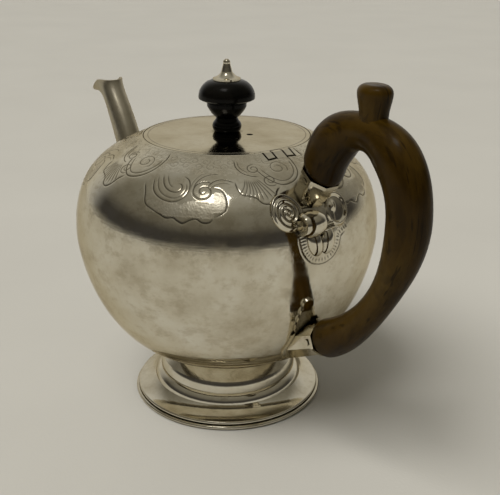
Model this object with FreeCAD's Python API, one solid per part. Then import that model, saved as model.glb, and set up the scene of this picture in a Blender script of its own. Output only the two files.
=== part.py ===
"""Silver teapot with a flush hinged lid, a curved spout and a pinned wooden handle.

Millimetres. +Z is up, the foot stands on z = 0 and the pot's axis is the Z axis.
The handle points along +X and the spout along -X, so the lid's hinge is parallel to Y.
"""
import FreeCAD, Part
import math
import os

V = FreeCAD.Vector

# Body: a raised bowl whose outline is a belly curve and a shoulder curve
BODY_R = 58.0            # radius at the widest line
BELLY_Z = 71.0           # height of the widest line
NECK_R = 21.0            # radius where the bowl sits on the foot
NECK_Z = 20.0            # height where the bowl sits on the foot
BOTTOM_SLOPE = 9.2       # degrees that the bottom rises at the neck
BOTTOM_PULL = 30.6       # how far the bottom's direction carries into the belly curve
BELLY_PULL = 8.6         # how far the upright belly carries down into that curve
MOUTH_R = 31.6           # radius of the mouth's edge
MOUTH_Z = 106.5          # height of the mouth's edge
SHOULDER_SLOPE = 28.0    # degrees that the shoulder falls at the mouth
SHOULDER_PULL = 12.0     # how far the shoulder's direction carries from the mouth
CROWN_PULL = 27.4        # how far the upright belly carries up into the shoulder
WALL = 1.1               # thickness of the raised silver

# Foot: a spun and moulded ring, hollow below
FOOT_R = 38.2            # radius of the rim on the table
FOOT_WALL = 1.3
FOOT_CONE_R = 26.6       # lower edge of the sloping neck
FOOT_CONE_Z = 14.4       # height of that edge
FOOT_COLLAR_R = 27.5     # foot of the upright collar below the slope
FOOT_COLLAR_Z = 9.9      # height of that line
FOOT_SWELL = 0.35        # how far the collar and the rounded edge below it swell
FOOT_STEP_R = 30.0       # crease below the rounded edge
FOOT_STEP_Z = 6.4
FOOT_FLARE_Z = 3.2       # height where the flare meets the bead
FOOT_BEAD_IN = 1.0       # the bead above the rim wire stays this far inside the rim
FOOT_BEAD_OUT = 0.7      # how far the bead stands out of the flare
FOOT_RIM_H = 1.7         # height of the rim wire
FOOT_RIM_W = 2.2         # radial width of the rim wire

# Lid: a flush plate, slightly domed, resting on a ring inside the mouth
LID_GAP = 0.35           # open line round the lid
LID_RISE = 0.9           # how much the lid's middle stands above its edge
LID_SEAT_GAP = 0.05      # air between the lid and its ring
LID_PLATE = 1.1          # thickness of the domed part
LID_BEVEL = 0.6          # how much the lid's edge leans in downwards, so that it can swing
SEAT_W = 3.4             # width of the ring's flat top
SEAT_H = 2.0             # height of the ring
BEZEL_GAP = 0.8          # air between the lid's bezel and the ring
BEZEL_W = 1.0
BEZEL_H = 3.0
VENT_R = 1.2             # vent hole
VENT_OUT = 9.9           # its distance from the axis
VENT_TURN = 25.0         # degrees from the handle's line

# Hinge: five knuckles let into the shoulder and filed flush with it
HINGE_OUT = 0.4          # the hinge axis stands this far outside the mouth's edge
HINGE_DEPTH = 2.25       # and this far below it
KNUCKLE_R = 2.7
KNUCKLE_GAP = 0.25       # running gap round and beside the knuckles on the lid
MIDDLE_KNUCKLE = 3.8     # length of the body's middle knuckle
LID_KNUCKLE = 4.2        # length of each of the lid's knuckles
END_KNUCKLE = 2.5        # length of each of the body's end knuckles
HINGE_PIN_R = 0.8
PIN_RUN = 0.05           # running clearance of the pin in the lid's knuckles
PIN_SET = 0.02           # clearance of the pin in the body's knuckles
HOUSING_WALL = 0.9
SEAM = 0.05              # solder seam between fixed pieces

# Finial: a turned knob under a silver cap, bolted through the lid
KNOB_R = 10.5            # radius of the knob's brim
KNOB_H = 19.3            # height of the knob
KNOB_SEAT_R = 4.5        # radius on the lid
KNOB_FOOT_R = 5.5        # radius of the bulge at its foot
KNOB_FOOT_H = 4.2        # height of that bulge
KNOB_WAIST_R = 4.0
KNOB_WAIST_UP = 5.3      # height of the waist above the lid
KNOB_CUP_R = 7.4         # radius of the cup below the brim
KNOB_CUP_UP = 9.6        # height of the cup's band
KNOB_CUP_H = 1.3         # width of that band
KNOB_GROOVE = 0.5        # depth and height of the groove above the band
KNOB_BRIM_UP = 12.5      # height of the brim's widest line
KNOB_BRIM_H = 0.9        # height from the groove to that line
CAP_R = 5.1
CAP_H = 7.6
CAP_BAND_H = 0.7         # height of the cap's upright edge
CAP_STEM_R = 2.05        # radius where the cap's hollow curve ends
CAP_STEM_UP = 3.05       # and its height above the knob
CAP_STEM_TOP_R = 1.2     # radius of the stem below the ball
CAP_BALL_R = 1.35
BOLT_R = 1.2
BOLT_HOLE_GAP = 0.1
BOLT_GRIP = 2.0          # depth of the bolt in the cap
BOLT_TAIL = 0.6          # how far the bolt stands below its nut
WASHER_R = 4.2
WASHER_T = 0.6
NUT_ACROSS = 5.0         # across the flats of the square nut
NUT_H = 2.0

# Spout: a curved tube that leaves the belly and ends in a drawn-out lip
SPOUT_ROOT_Z = 47.0      # height of its middle at the body
SPOUT_ROOT_SLOPE = 12.0  # degrees that it rises there
SPOUT_ROOT_PULL = 24.0
SPOUT_TIP_X = 98.5       # distance of the tip's middle from the axis
SPOUT_TIP_Z = 110.5
SPOUT_TIP_SLOPE = 46.0
SPOUT_TIP_PULL = 30.0
SPOUT_ROOT_DEPTH = 13.5  # half height at the root
SPOUT_ROOT_WIDTH = 10.5  # half width at the root
SPOUT_NECK = 5.3         # half width below the lip
SPOUT_WALL = 1.1
LIP_REACH = 15.0         # how far the pouring lip stands out from the rim's middle
LIP_BACK = 7.5           # how far the rim stands back from there
LIP_WIDTH = 6.3          # half width of the rim
LIP_DROOP = 30.0         # degrees that the rim falls towards the lip
LIP_RISE = 2.5           # how far the rim's middle stands above the tip's middle
RIM_RISE = 2.4           # height above the tip's middle where the rim's back is cut level
STRAINER_R = 1.1         # holes pierced in the body behind the spout
STRAINER_PITCH = 3.7

# Handle sockets: cast cups on the shoulder and the lower belly
UPPER_ROOT_Z = 93.4      # height of the upper socket's root
UPPER_SINK = 3.6         # how far the root's middle lies inside the body's face
UPPER_SLOPE = 55.0       # degrees that the socket rises
UPPER_LENGTH = 14.0
UPPER_RIM = 6.6          # half width of the rim
UPPER_ROOT = 5.0         # half width of the root
LOWER_ROOT_Z = 36.3
LOWER_SINK = 7.1
LOWER_SLOPE = 24.0
LOWER_LENGTH = 24.0
LOWER_RIM = 5.8
LOWER_ROOT = 6.8
TENON_R = 3.9            # round tenons of the handle in the sockets
TENON_LENGTH = 5.5
TENON_GAP = 0.1
SOCKET_LIP = 0.5         # how far the collar at a socket's rim stands out
SOCKET_LIP_H = 1.4       # height of that collar
HANDLE_PIN_R = 1.1
HANDLE_PIN_BACK = 3.2    # the pins cross the tenons this far below the rims
HANDLE_PIN_PROUD = 0.5   # how far the pins' heads stand out of the sockets

# Ornament at the sockets
ROLL_R = 4.5             # the scroll roll below the upper socket
ROLL_HALF = 4.0          # half its length
ROLL_Y = -4.6            # its middle lies to one side of the handle's line
ROLL_Z = 88.0            # height of its axis
ROLL_OUT = 1.9           # its axis stands this far outside the body's face
ROLL_END = 0.78          # radius of its ends over its middle radius
ROLL_EYE_R = 1.9         # the eye on each end of the roll
ROLL_EYE_H = 0.8
PLAQUE_T = 1.3           # thickness of the applied scrolls and leaves
PLAQUE_BODY_R = 7.4      # the plaque's middle, behind the roll
VOLUTE_R = 5.4           # the coiled scroll beyond the roll
VOLUTE_Y = -11.0
VOLUTE_UP = 3.2          # its height above the roll
VOLUTE_RIDGE = 1.65      # pitch of the volute's ridges
GROOVE_W = 0.7           # width of the grooves chased into the plaque
GROOVE_DEPTH = 0.6
CARTOUCHE_R = 5.4        # the hollow scroll on the roll's other side
CARTOUCHE_Y = 8.4
CARTOUCHE_UP = 1.8
CARTOUCHE_RIM = 1.5      # width of its raised rim
CARTOUCHE_DEPTH = 0.7    # depth of its hollow
LEAF_DROP = 5.4          # the leaf's lobes hang this far below the roll's axis
LEAF_LOBE_R = 3.3
LEAF_LOBE_OUT = 2.5
LEAF_LENGTH = 2.2
LOWER_PLAQUE_EDGE = 0.9  # the plate at the lower socket's root stands out this far round it
LOWER_LEAF_R = 3.0       # the leaf that rises from that plate
LOWER_LEAF_Y = -4.4      # its middle lies to the same side as the roll
LOWER_LEAF_LAP = 2.5     # how far the middle of its first disc lies inside the socket's edge
LOWER_LEAF_STEP = 3.4    # pitch of the four discs that make it
LOWER_LEAF_TAPER = 0.3   # how much smaller each is than the one below

# Handle: an oval bar along a C, swelling at its ends and behind its crest
CREST_X = 76.4           # top of the C
CREST_Z = 122.1
BACK_X = 96.2            # back of the C
BACK_Z = 99.0
UPPER_RISE = 76.0        # degrees that the wood rises above the upper socket
UPPER_PULL = 13.0        # how far each end of a span keeps its direction
CREST_PULL = 8.5
CREST_BACK_PULL = 12.3
BACK_PULL = 12.9
BACK_LOWER_PULL = 18.8
LOWER_PULL = 20.0
UPPER_END_HALF = 7.6     # half depth of the oval at the upper end
BULB_HALF = 7.9          # above that end
CREST_HALF = 5.9
SWELL_HALF = 7.6         # between the crest and the back
BACK_HALF = 7.2
WAIST_HALF = 5.0         # half way down
LOWER_END_HALF = 6.9
HANDLE_FLATNESS = 0.9    # width of the oval over its depth
END_ROUND = 3.0          # length of the rounding at the wood's ends
END_INSET = 1.7          # how much smaller the oval is there
END_TURN = 0.4           # share of the first span over which the ovals turn from the socket to the curve
THUMB_X = 78.8           # thumbpiece
THUMB_H = 14.8           # its height above the handle's middle line
THUMB_LONG = 5.9         # half its length
THUMB_WIDE = 4.8         # half its width
THUMB_WAIST = 0.84       # share of these at its waist

OVAL_POINTS = 12
FULL_TURN = 360.0
AXIS_X = V(1, 0, 0)
AXIS_Y = V(0, 1, 0)
AXIS_Z = V(0, 0, 1)


def polar(length, degrees):
    """An (x, z) step of that length, rising by that angle."""
    turn = math.radians(degrees)
    return length * math.cos(turn), length * math.sin(turn)


def bezier_point(poles, t):
    """The point at t on a cubic curve through (x, z) poles."""
    s = 1.0 - t
    weights = (s * s * s, 3 * s * s * t, 3 * s * t * t, t * t * t)
    return tuple(sum(w * p[i] for w, p in zip(weights, poles)) for i in (0, 1))


def bezier_direction(poles, t):
    """The unit direction at t on a cubic curve through (x, z) poles."""
    s = 1.0 - t
    weights = (3 * s * s, 6 * s * t, 3 * t * t)
    steps = [(b[0] - a[0], b[1] - a[1]) for a, b in zip(poles, poles[1:])]
    dx, dz = (sum(w * q[i] for w, q in zip(weights, steps)) for i in (0, 1))
    size = math.hypot(dx, dz)
    return dx / size, dz / size


def bezier_edge(poles):
    curve = Part.BezierCurve()
    curve.setPoles([V(x, 0, z) for x, z in poles])
    return curve.toShape()


def line(a, b):
    return Part.makeLine(V(a[0], 0, a[1]), V(b[0], 0, b[1]))


def arc(a, middle, b):
    points = [V(x, 0, z) for x, z in (a, middle, b)]
    return Part.Arc(*points).toShape()


def turned(edges):
    """The solid that a closed outline in the XZ plane makes round the Z axis."""
    face = Part.Face(Part.Wire(edges))
    solid = face.revolve(V(0, 0, 0), AXIS_Z, FULL_TURN)
    return solid if solid.Volume > 0 else solid.reversed()


def turned_polygon(points):
    closed = list(points) + [points[0]]
    return turned([line(a, b) for a, b in zip(closed, closed[1:])])


def ring(inner, outer, low, high):
    return turned_polygon([(inner, low), (outer, low), (outer, high), (inner, high)])


def rod(radius, start, direction, length):
    return Part.makeCylinder(radius, length, start, direction)


def joined(shapes):
    whole = shapes[0]
    for shape in shapes[1:]:
        whole = whole.fuse(shape)
    return whole.removeSplitter()


def belly_poles(inset):
    """The curve from the neck to the widest line, moved inwards by inset."""
    lift = inset / math.cos(math.radians(BOTTOM_SLOPE))
    px, pz = polar(BOTTOM_PULL, BOTTOM_SLOPE)
    return [(NECK_R, NECK_Z + lift),
            (NECK_R + px, NECK_Z + lift + pz),
            (BODY_R - inset, BELLY_Z - BELLY_PULL),
            (BODY_R - inset, BELLY_Z)]


def shoulder_poles(inset):
    """The curve from the widest line to the mouth, moved inwards by inset."""
    fall = inset / math.cos(math.radians(SHOULDER_SLOPE))
    px, pz = polar(SHOULDER_PULL, SHOULDER_SLOPE)
    return [(BODY_R - inset, BELLY_Z),
            (BODY_R - inset, BELLY_Z + CROWN_PULL),
            (MOUTH_R + px, MOUTH_Z - fall - pz),
            (MOUTH_R, MOUTH_Z - fall)]


def bottom_poles(inset):
    """The shallow dish from the axis to the neck, moved upwards by inset."""
    neck = belly_poles(inset)[0]
    middle = neck[1] - 0.5 * neck[0] * math.tan(math.radians(BOTTOM_SLOPE))
    return [(0, middle), (neck[0] / 3.0, middle), (neck[0] * 2.0 / 3.0, (2.0 * middle + neck[1]) / 3.0), neck]


def outline_edges(inset):
    return [bezier_edge(poles(inset)) for poles in (bottom_poles, belly_poles, shoulder_poles)]


def bowl(inset):
    """The bowl as a full solid, closed across the mouth."""
    bottom = bottom_poles(inset)[0]
    mouth = shoulder_poles(inset)[-1]
    return turned(outline_edges(inset) + [line(mouth, (0, mouth[1])), line((0, mouth[1]), bottom)])


def body_radius(z):
    """The radius of the body's face at height z, found by halving the curve's range."""
    poles = belly_poles(0) if z < BELLY_Z else shoulder_poles(0)
    low, high = 0.0, 1.0
    while high - low > 1e-9:
        middle = 0.5 * (low + high)
        if bezier_point(poles, middle)[1] < z:
            low = middle
        else:
            high = middle
    return bezier_point(poles, low)[0]


LID_R = MOUTH_R - LID_GAP
SEAT_Z = shoulder_poles(WALL)[-1][1]
LID_UNDER = SEAT_Z + LID_SEAT_GAP
LID_TOP = MOUTH_Z + LID_RISE
SEAT_R = MOUTH_R - SEAT_W
BEZEL_R = SEAT_R - BEZEL_GAP
HINGE_X = MOUTH_R + HINGE_OUT
HINGE_Z = MOUTH_Z - HINGE_DEPTH
BODY_KNUCKLE_R = KNUCKLE_R + KNUCKLE_GAP - SEAM
RECESS_R = KNUCKLE_R + KNUCKLE_GAP
LID_CLEAR_R = BODY_KNUCKLE_R + KNUCKLE_GAP
HOUSING_R = RECESS_R + HOUSING_WALL
HINGE_HALF = 0.5 * MIDDLE_KNUCKLE + LID_KNUCKLE + END_KNUCKLE
SPOUT_SPAN = (0.0, 0.14, 0.28, 0.42, 0.56, 0.7, 0.84, 0.95)

SOLID_POT = bowl(0.0)
CAVITY = bowl(WALL)


def lid_height(r, drop):
    """The height of the lid's domed face at radius r, lowered by drop."""
    sphere = (LID_R * LID_R + LID_RISE * LID_RISE) / (2.0 * LID_RISE)
    return LID_TOP - drop - sphere + math.sqrt(sphere * sphere - r * r)


def lid_dome(drop, reach):
    """The arc of the lid's face, lowered by drop, from the axis out to reach."""
    points = [(r, lid_height(r, drop)) for r in (0.0, 0.5 * reach, reach)]
    return arc(*points), points[-1]


def flush_envelope():
    """Everything below the lid's face and the shoulder, to which the knuckles are filed."""
    dome, edge = lid_dome(0.0, LID_R)
    mouth = (MOUTH_R, MOUTH_Z)
    widest = (BODY_R, BELLY_Z)
    return turned([dome, line(edge, mouth), bezier_edge(shoulder_poles(0.0)),
                   line(widest, (0, BELLY_Z)), line((0, BELLY_Z), (0, LID_TOP))])


def hinge_rod(radius, low, high):
    return rod(radius, V(HINGE_X, low, HINGE_Z), AXIS_Y, high - low)


def knuckle_spans():
    """Along Y: the two spans of the lid's knuckles, and the three of the body's."""
    inner = 0.5 * MIDDLE_KNUCKLE
    outer = inner + LID_KNUCKLE
    lid = [(inner, outer), (-outer, -inner)]
    body = [(-inner, inner), (outer, HINGE_HALF), (-HINGE_HALF, -outer)]
    return lid, body


def body():
    shell = SOLID_POT.cut(CAVITY)
    shell = shell.cut(rod(MOUTH_R, V(0, 0, SEAT_Z - WALL), AXIS_Z, 2.0 * WALL + LID_RISE))
    shell = shell.cut(hinge_rod(RECESS_R, -HINGE_HALF - SEAM, HINGE_HALF + SEAM))
    return shell.cut(strainer_holes())


def strainer_holes():
    """Rods through the wall behind the spout, in rings of six and twelve round one."""
    spots = [(0.0, 0.0)]
    for turn in range(2):
        count = 6 * (turn + 1)
        for k in range(count):
            spots.append(polar(STRAINER_PITCH * (turn + 1), FULL_TURN * k / count))
    face = body_radius(SPOUT_ROOT_Z)
    reach = SPOUT_ROOT_DEPTH
    start = -face - reach
    return Part.makeCompound(
        [rod(STRAINER_R, V(start, y, SPOUT_ROOT_Z + z), AXIS_X, 2.0 * reach) for y, z in spots])


def lid_seat():
    band = ring(SEAT_R, MOUTH_R + SEAT_W, SEAT_Z - SEAT_H, SEAT_Z)
    band = band.common(CAVITY)
    end = HINGE_HALF + HOUSING_WALL + SEAM
    return band.cut(hinge_rod(HOUSING_R + SEAM, -end, end))


def hinge_housing():
    end = HINGE_HALF + HOUSING_WALL
    trough = hinge_rod(HOUSING_R, -end, end)
    trough = trough.cut(hinge_rod(RECESS_R, -HINGE_HALF - SEAM, HINGE_HALF + SEAM))
    return trough.common(CAVITY)


def knuckles(spans, radius, bore, gap):
    """Hinge tubes over those spans, filed flush with the lid and the shoulder."""
    tubes = [hinge_rod(radius, low + gap, high - gap) for low, high in spans]
    hole = hinge_rod(bore, -2.0 * HINGE_HALF, 2.0 * HINGE_HALF)
    envelope = flush_envelope()
    return Part.makeCompound([tube.common(envelope).cut(hole) for tube in tubes])


def body_knuckles():
    return knuckles(knuckle_spans()[1], BODY_KNUCKLE_R, HINGE_PIN_R + PIN_SET, 0.0)


def lid_knuckles():
    return knuckles(knuckle_spans()[0], KNUCKLE_R, HINGE_PIN_R + PIN_RUN, KNUCKLE_GAP)


def hinge_pin():
    return hinge_rod(HINGE_PIN_R, -HINGE_HALF, HINGE_HALF)


def lid():
    """The plate: a flat rim that rests on the ring, domed inside it, cut for the hinge."""
    top, edge = lid_dome(0.0, LID_R)
    under, inner = lid_dome(LID_PLATE, BEZEL_R - BEZEL_W)
    rim = [(LID_R - LID_BEVEL, LID_UNDER), (inner[0], LID_UNDER)]
    plate = turned([top, line(edge, rim[0]), line(rim[0], rim[1]), line(rim[1], inner), under,
                    line((0, LID_TOP - LID_PLATE), (0, LID_TOP))])
    own, fixed = knuckle_spans()
    for low, high in fixed:
        plate = plate.cut(hinge_rod(LID_CLEAR_R, low - KNUCKLE_GAP, high + KNUCKLE_GAP))
    for low, high in own:
        plate = plate.cut(hinge_rod(KNUCKLE_R + SEAM, low, high))
    vent = polar(VENT_OUT, VENT_TURN)
    plate = plate.cut(rod(VENT_R, V(vent[0], vent[1], 0), AXIS_Z, 2.0 * LID_TOP))
    return plate.cut(rod(BOLT_R + BOLT_HOLE_GAP, V(0, 0, 0), AXIS_Z, 2.0 * LID_TOP))


def lid_bezel():
    band = ring(BEZEL_R - BEZEL_W, BEZEL_R, LID_UNDER - BEZEL_H, LID_UNDER)
    end = HINGE_HALF + HOUSING_WALL + BEZEL_GAP
    return band.cut(hinge_rod(HOUSING_R + BEZEL_GAP, -end, end))


def finial_knob():
    """A turned knob: bulged foot, waist, cup with a band, groove, and a domed brim."""
    base = LID_TOP
    hole = BOLT_R + BOLT_HOLE_GAP
    seat = (KNOB_SEAT_R, base)
    foot = (KNOB_SEAT_R, base + KNOB_FOOT_H)
    waist = (KNOB_WAIST_R, base + KNOB_WAIST_UP)
    band_low = (KNOB_CUP_R, base + KNOB_CUP_UP)
    band_top = (KNOB_CUP_R, band_low[1] + KNOB_CUP_H)
    groove = (KNOB_CUP_R - KNOB_GROOVE, band_top[1])
    under = (KNOB_CUP_R - KNOB_GROOVE, base + KNOB_BRIM_UP - KNOB_BRIM_H)
    brim = (KNOB_R, base + KNOB_BRIM_UP)
    top = (CAP_R, base + KNOB_H)
    cup = (waist[0] + 0.56 * (band_low[0] - waist[0]), waist[1] + 0.45 * (band_low[1] - waist[1]))
    flank = (under[0] + 0.66 * (brim[0] - under[0]), under[1] + 0.3 * (brim[1] - under[1]))
    dome = (top[0] + 0.73 * (brim[0] - top[0]), brim[1] + 0.69 * (top[1] - brim[1]))
    return turned([
        line((hole, base), seat),
        arc(seat, (KNOB_FOOT_R, base + 0.5 * KNOB_FOOT_H), foot),
        line(foot, waist),
        arc(waist, cup, band_low),
        line(band_low, band_top),
        line(band_top, groove),
        line(groove, under),
        arc(under, flank, brim),
        arc(brim, dome, top),
        line(top, (hole, top[1])),
        line((hole, top[1]), (hole, base)),
    ])


def finial_cap():
    """A silver cap: an upright edge, a hollow curve up to a slender stem, and a small ball."""
    base = LID_TOP + KNOB_H
    edge = (CAP_R, base + CAP_BAND_H)
    stem = (CAP_STEM_R, base + CAP_STEM_UP)
    ball_z = base + CAP_H - CAP_BALL_R
    hollow = (stem[0] + 0.42 * (edge[0] - stem[0]), edge[1] + 0.36 * (stem[1] - edge[1]))
    cap = turned([
        line((0, base), (CAP_R, base)),
        line((CAP_R, base), edge),
        arc(edge, hollow, stem),
        line(stem, (CAP_STEM_TOP_R, ball_z)),
        line((CAP_STEM_TOP_R, ball_z), (0, ball_z)),
        line((0, ball_z), (0, base)),
    ])
    cap = cap.fuse(Part.makeSphere(CAP_BALL_R, V(0, 0, ball_z)))
    return cap.cut(rod(BOLT_R + SEAM, V(0, 0, base), AXIS_Z, BOLT_GRIP))


def nut_top():
    """The nut's upper face: the washer lies between it and the dome's underside."""
    return lid_height(WASHER_R, LID_PLATE) - WASHER_T


def finial_bolt():
    low = nut_top() - NUT_H - BOLT_TAIL
    high = LID_TOP + KNOB_H + BOLT_GRIP - SEAM
    return rod(BOLT_R, V(0, 0, low), AXIS_Z, high - low)


def finial_washer():
    return ring(BOLT_R + BOLT_HOLE_GAP, WASHER_R, nut_top(), nut_top() + WASHER_T)


def finial_nut():
    half = 0.5 * NUT_ACROSS
    block = Part.makeBox(NUT_ACROSS, NUT_ACROSS, NUT_H, V(-half, -half, nut_top() - NUT_H))
    return block.cut(rod(BOLT_R + SEAM, V(0, 0, nut_top() - 2.0 * NUT_H), AXIS_Z, 4.0 * NUT_H))


def foot():
    """A sloping neck, a collar with a rounded edge, a crease, a flare and a bead above the rim wire."""
    wall = FOOT_WALL
    high = NECK_Z + WALL
    neck = (NECK_R, NECK_Z)
    cone = (FOOT_CONE_R, FOOT_CONE_Z)
    collar = (FOOT_COLLAR_R, FOOT_COLLAR_Z)
    side = (0.5 * (cone[0] + collar[0]) + FOOT_SWELL, 0.5 * (cone[1] + collar[1]))
    step = (FOOT_STEP_R, FOOT_STEP_Z)
    edge = (0.5 * (collar[0] + step[0]) + FOOT_SWELL, 0.5 * (collar[1] + step[1]) + FOOT_SWELL)
    bead_r = FOOT_R - FOOT_BEAD_IN
    flare_r = bead_r - FOOT_BEAD_OUT
    flare = (flare_r, FOOT_FLARE_Z)
    hollow = (step[0] + 0.4 * (flare_r - step[0]), FOOT_FLARE_Z + 0.38 * (FOOT_STEP_Z - FOOT_FLARE_Z))
    bead = (bead_r, 0.5 * (FOOT_FLARE_Z + FOOT_RIM_H))
    bead_low = (flare_r, FOOT_RIM_H + SEAM)
    outer = [
        line((NECK_R, high), neck),
        line(neck, cone),
        arc(cone, side, collar),
        arc(collar, edge, step),
        arc(step, hollow, flare),
        arc(flare, bead, bead_low),
    ]
    inside = [
        bead_low,
        (flare_r - wall, bead_low[1]),
        (step[0] - 0.6 * wall, step[1] - wall),
        (collar[0] - wall, collar[1] - 0.8 * wall),
        (cone[0] - wall, cone[1] - 0.5 * wall),
        (NECK_R - wall, neck[1] - 0.6 * wall),
        (NECK_R - wall, high),
        (NECK_R, high),
    ]
    inner = [line(a, b) for a, b in zip(inside, inside[1:])]
    return turned(outer + inner).cut(SOLID_POT)


def foot_rim():
    """The rim wire: flat on the table, with a rounded outer edge, soldered under the bead."""
    inner = FOOT_R - FOOT_RIM_W
    flat = FOOT_R - 0.5 * FOOT_RIM_H
    return turned([
        line((inner, 0), (flat, 0)),
        arc((flat, 0), (FOOT_R, 0.5 * FOOT_RIM_H), (flat, FOOT_RIM_H)),
        line((flat, FOOT_RIM_H), (inner, FOOT_RIM_H)),
        line((inner, FOOT_RIM_H), (inner, 0)),
    ])


def oval_wire(middle, along, half_depth, half_width, depth_out=None):
    """A closed smooth section square to a direction in the XZ plane.

    depth_out, where given, is the half depth on the side away from the pot's axis.
    """
    far = half_depth if depth_out is None else depth_out
    across = (along[1], -along[0])
    points = []
    for k in range(OVAL_POINTS):
        turn = 2.0 * math.pi * k / OVAL_POINTS
        depth = far if math.cos(turn) > 0 else half_depth
        step = depth * math.cos(turn)
        points.append(V(middle[0] + across[0] * step, half_width * math.sin(turn), middle[1] + across[1] * step))
    curve = Part.BSplineCurve()
    curve.interpolate(points, PeriodicFlag=True)
    return Part.Wire(curve.toShape())


def loft(wires):
    solid = Part.makeLoft(wires, True, False)
    return solid if solid.Volume > 0 else solid.reversed()


def spout_poles():
    root_x = -(body_radius(SPOUT_ROOT_Z) - SPOUT_NECK)
    rx, rz = polar(SPOUT_ROOT_PULL, SPOUT_ROOT_SLOPE)
    tx, tz = polar(SPOUT_TIP_PULL, SPOUT_TIP_SLOPE)
    return [(root_x, SPOUT_ROOT_Z), (root_x - rx, SPOUT_ROOT_Z + rz),
            (-SPOUT_TIP_X + tx, SPOUT_TIP_Z - tz), (-SPOUT_TIP_X, SPOUT_TIP_Z)]


def spout_tube(inset, lift):
    """The spout's tube, moved inwards by inset, up to its drooping rim raised by lift."""
    poles = spout_poles()
    wires = []
    for t in SPOUT_SPAN:
        fade = (1.0 - t) ** 2.2
        depth = SPOUT_NECK + (SPOUT_ROOT_DEPTH - SPOUT_NECK) * fade
        width = SPOUT_NECK + (SPOUT_ROOT_WIDTH - SPOUT_NECK) * fade
        middle, along = bezier_point(poles, t), bezier_direction(poles, t)
        wires.append(oval_wire(middle, along, depth - inset, width - inset))
    up = polar(1.0, 90.0 + LIP_DROOP)
    middle = (-SPOUT_TIP_X + up[0] * lift, SPOUT_TIP_Z + LIP_RISE + up[1] * lift)
    wires.append(oval_wire(middle, up, LIP_REACH - inset, LIP_WIDTH - inset, LIP_BACK - inset))
    return loft(wires)


def spout():
    """The tube, hollow from the body's face to its rim, which is level behind and droops to the lip."""
    tube = spout_tube(0.0, 0.0).cut(spout_tube(SPOUT_WALL, SEAM))
    rim_z = SPOUT_TIP_Z + RIM_RISE
    size = 2.0 * (LIP_REACH + LIP_BACK)
    above = Part.makeBox(size, size, size, V(-SPOUT_TIP_X - 0.5 * size, -0.5 * size, rim_z))
    return tube.cut(above).cut(SOLID_POT)


def socket_frame(root_z, sink, slope, length):
    """The middle of a socket's root and rim, and its direction, in the XZ plane."""
    root = (body_radius(root_z) - sink, root_z)
    step = polar(length, slope)
    return root, (root[0] + step[0], root[1] + step[1]), polar(1.0, slope)


def upper_frame():
    return socket_frame(UPPER_ROOT_Z, UPPER_SINK, UPPER_SLOPE, UPPER_LENGTH)


def lower_frame():
    return socket_frame(LOWER_ROOT_Z, LOWER_SINK, LOWER_SLOPE, LOWER_LENGTH)


def octagon(middle, along, half):
    """A regular octagon square to a direction in the XZ plane, half its width across the flats."""
    across = (along[1], -along[0])
    corner = half / math.cos(math.pi / 8)
    points = []
    for k in range(9):
        turn = math.pi * (2 * k + 1) / 8
        u, y = corner * math.cos(turn), corner * math.sin(turn)
        points.append(V(middle[0] + across[0] * u, y, middle[1] + across[1] * u))
    return Part.makePolygon(points)


def socket_form(frame, root_half, rim_half):
    """A faceted cup with a collar at its rim, before it is bored."""
    root, rim, along = frame
    collar = tuple(r - a * SOCKET_LIP_H for r, a in zip(rim, along))
    ends = [octagon(root, along, root_half), octagon(collar, along, rim_half - SOCKET_LIP)]
    cup = Part.makeLoft(ends, True, True)
    lip = Part.makeLoft([octagon(collar, along, rim_half), octagon(rim, along, rim_half)], True, True)
    return cup.fuse(lip).removeSplitter()


def socket(frame, root_half, rim_half):
    """The cup with a round tenon hole, trimmed to the body's face and pierced for its pin."""
    rim, along = frame[1], frame[2]
    cup = socket_form(frame, root_half, rim_half)
    start = V(rim[0], 0, rim[1])
    inward = V(-along[0], 0, -along[1])
    cup = cup.cut(rod(TENON_R + TENON_GAP, start, inward, TENON_LENGTH + TENON_GAP))
    return cup.cut(pin_rod(frame, HANDLE_PIN_R + SEAM, 2.0 * rim_half)).cut(SOLID_POT)


def pin_rod(frame, radius, half):
    """A rod along Y that crosses a socket's tenon."""
    rim, along = frame[1], frame[2]
    x = rim[0] - along[0] * HANDLE_PIN_BACK
    z = rim[1] - along[1] * HANDLE_PIN_BACK
    return rod(radius, V(x, -half, z), AXIS_Y, 2.0 * half)


def pin_half(root_half, rim_half, length):
    """Half the socket's width where its pin crosses it, and the pin's head."""
    share = HANDLE_PIN_BACK / length
    return (rim_half - SOCKET_LIP) * (1.0 - share) + root_half * share + HANDLE_PIN_PROUD


def upper_socket():
    return socket(upper_frame(), UPPER_ROOT, UPPER_RIM)


def lower_socket():
    return socket(lower_frame(), LOWER_ROOT, LOWER_RIM)


def upper_handle_pin():
    return pin_rod(upper_frame(), HANDLE_PIN_R, pin_half(UPPER_ROOT, UPPER_RIM, UPPER_LENGTH))


def lower_handle_pin():
    return pin_rod(lower_frame(), HANDLE_PIN_R, pin_half(LOWER_ROOT, LOWER_RIM, LOWER_LENGTH))


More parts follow.
